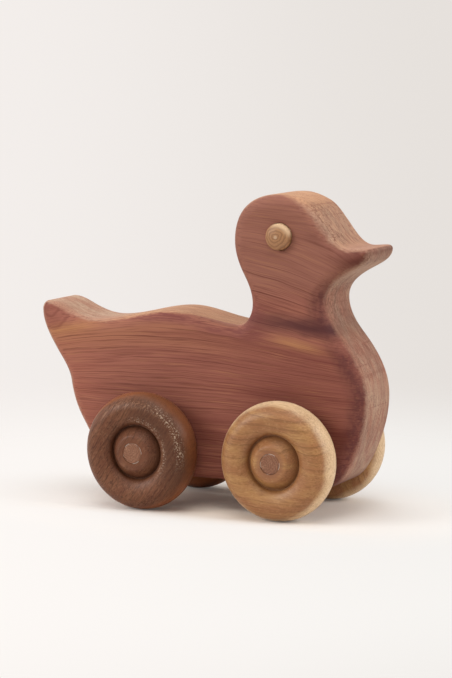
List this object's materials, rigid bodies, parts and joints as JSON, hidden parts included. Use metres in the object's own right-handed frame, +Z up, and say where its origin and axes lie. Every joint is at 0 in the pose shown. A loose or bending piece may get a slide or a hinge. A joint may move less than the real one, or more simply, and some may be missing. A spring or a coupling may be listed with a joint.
{
  "type": "wooden push-along duck toy",
  "caption": "Push-along duck sawn from a thick softwood board with routed edges, rolling on dowel axles with turned wooden wheels, and with domed peg eyes.",
  "frame": {"origin": "on the floor under the middle of the duck's length and thickness, where the wheels touch", "axes": "+X the way the duck faces, +Y its left side along the axles, +Z up"},
  "size_m": [0.175, 0.0824, 0.1533],
  "materials": {
    "cedar": "oiled red cedar, satin",
    "maple": "oiled maple, satin",
    "walnut": "oiled walnut, worn satin",
    "dowel": "birch dowel with darkened end grain",
    "birch": "pale birch peg, satin"
  },
  "bodies": {
    "duck": {"duck_body": "cedar", "right_eye_peg": "birch", "left_eye_peg": "birch"},
    "front_wheelset": {"front_axle": "dowel", "front_right_wheel": "maple", "front_left_wheel": "maple"},
    "rear_wheelset": {"rear_axle": "dowel", "rear_right_wheel": "walnut", "rear_left_wheel": "walnut"}
  },
  "joints": [
    {"name": "front_axle_spin", "type": "hinge", "parent": "duck", "child": "front_wheelset", "pos_m": [0.04808, 0, 0.02857], "axis": [0, 1, 0], "continuous": true},
    {"name": "rear_axle_spin", "type": "hinge", "parent": "duck", "child": "rear_wheelset", "pos_m": [-0.02437, 0, 0.02857], "axis": [0, 1, 0], "continuous": true}
  ]
}
